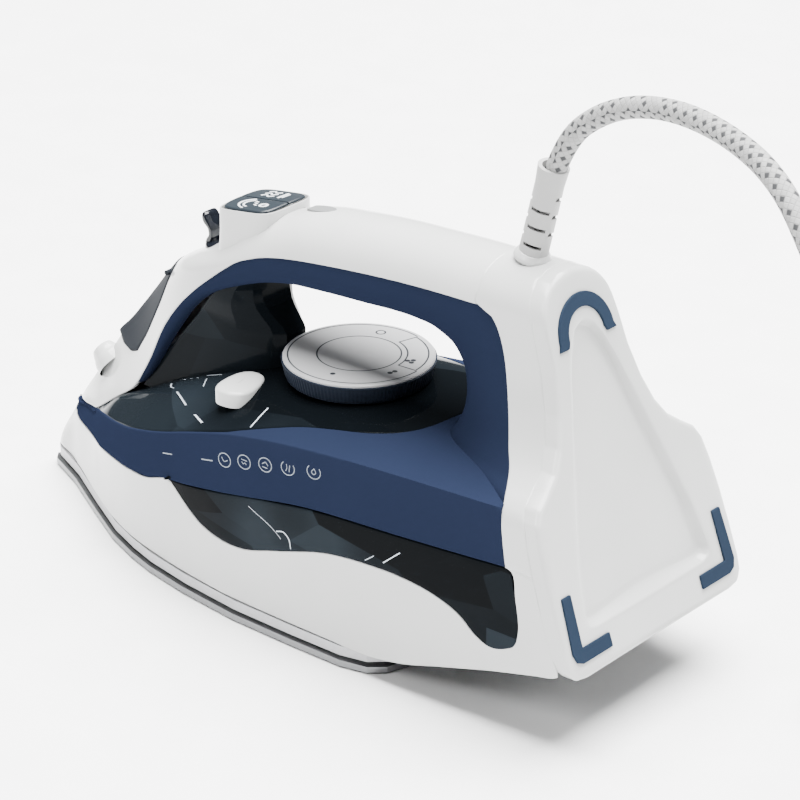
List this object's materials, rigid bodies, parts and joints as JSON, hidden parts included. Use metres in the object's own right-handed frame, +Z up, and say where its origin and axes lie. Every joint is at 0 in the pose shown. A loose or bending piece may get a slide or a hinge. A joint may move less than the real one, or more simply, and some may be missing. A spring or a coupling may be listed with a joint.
{
  "type": "steam iron",
  "caption": "Corded steam iron with a tapered soleplate, loop handle, temperature dial, steam and spray buttons, clear tank and a swivelling cord guard.",
  "frame": {"origin": "middle of the iron in plan, on the plane that the soleplate stands on", "axes": "+X to the pointed nose, +Y to the side with the self-clean button, +Z up"},
  "size_m": [0.4799, 0.1686, 0.2303],
  "materials": {
    "sole_metal": "polished",
    "casting_metal": "cast satin",
    "steel": "satin",
    "silicone": "matte",
    "dark_plastic": "satin",
    "white_plastic": "glossy",
    "clear_tank": "glossy, dark and slightly clear",
    "navy_plastic": "satin",
    "navy_rubber": "matte",
    "slate_plastic": "satin",
    "silver_plastic": "spun silver",
    "lens": "glossy",
    "white_rubber": "matte",
    "cord_braid": "braided, white with grey flecks",
    "brass_pins": "nickel-plated"
  },
  "bodies": {
    "iron_body": {"soleplate": "sole_metal", "steam_chamber": "casting_metal", "heating_element": "steel", "chamber_cover": "steel", "valve_gasket": "silicone", "heat_shield": "dark_plastic", "chamber_screws": "steel", "thermostat": "steel", "thermal_fuse": "steel", "base_skirt": "white_plastic", "water_tank": "clear_tank", "tank_cover": "clear_tank", "side_band": "navy_plastic", "handle_shell": "white_plastic", "handle_grip": "navy_plastic", "rear_cover": "white_plastic", "heel_pad_arch": "navy_rubber", "heel_pad_left": "navy_rubber", "heel_pad_right": "navy_rubber", "lid_hinge_pin": "steel", "spray_nozzle": "white_plastic", "nozzle_tip": "steel", "button_housing": "white_plastic", "steam_pump": "dark_plastic", "steam_pickup_pipe": "dark_plastic", "steam_spring": "steel", "spray_pump": "dark_plastic", "spray_pickup_pipe": "dark_plastic", "spray_spring": "steel", "self_clean_spring": "steel", "indicator_lens": "lens", "lamp_board": "dark_plastic", "terminal_block": "dark_plastic", "supply_leads": "dark_plastic", "cord_clamp": "dark_plastic", "cord_collar": "white_plastic", "power_cord": "cord_braid", "cord_coil": "cord_braid", "cord_tail": "cord_braid", "plug_body": "white_rubber", "plug_pins": "brass_pins"},
    "filler_lid": {"filler_lid": "clear_tank"},
    "steam_lever": {"steam_lever": "dark_plastic", "valve_rod": "steel"},
    "steam_button": {"steam_button": "slate_plastic", "steam_piston": "dark_plastic"},
    "spray_button": {"spray_button": "slate_plastic", "spray_piston": "dark_plastic"},
    "self_clean_button": {"self_clean_button": "white_plastic", "self_clean_rod": "steel"},
    "temperature_dial": {"dial_ring": "dark_plastic", "dial_disc": "silver_plastic", "dial_shaft": "steel"},
    "cord_guard": {"cord_guard": "white_rubber"}
  },
  "joints": [
    {"name": "dial_turn", "type": "hinge", "parent": "iron_body", "child": "temperature_dial", "pos_m": [-0.0122, 0, 0.09], "axis": [0, 0, 1], "range_deg": [0, 270]},
    {"name": "steam_lever_turn", "type": "hinge", "parent": "iron_body", "child": "steam_lever", "pos_m": [0.055, 0, 0.12], "axis": [0, 0, 1], "range_deg": [-25, 25]},
    {"name": "lid_hinge", "type": "hinge", "parent": "iron_body", "child": "filler_lid", "pos_m": [0.07635, 0, 0.1061], "axis": [0, -1, 0], "range_deg": [0, 75]},
    {"name": "steam_button_press", "type": "slide", "parent": "iron_body", "child": "steam_button", "axis": [0, 0, -1], "range_m": [0, 0.003], "stiffness_N_per_m": 500, "springref_m": -0.0012, "deforming": ["steam_spring"]},
    {"name": "spray_button_press", "type": "slide", "parent": "iron_body", "child": "spray_button", "axis": [0, 0, -1], "range_m": [0, 0.003], "stiffness_N_per_m": 500, "springref_m": -0.0012, "deforming": ["spray_spring"]},
    {"name": "self_clean_press", "type": "slide", "parent": "iron_body", "child": "self_clean_button", "axis": [0, 0, -1], "range_m": [0, 0.003], "stiffness_N_per_m": 500, "springref_m": -0.0012, "deforming": ["self_clean_spring"]},
    {"name": "guard_twist", "type": "hinge", "parent": "iron_body", "child": "cord_guard", "pos_m": [-0.0905, 0, 0.1505], "axis": [-0.2351, 0, 0.972], "range_deg": [-170, 170]}
  ]
}
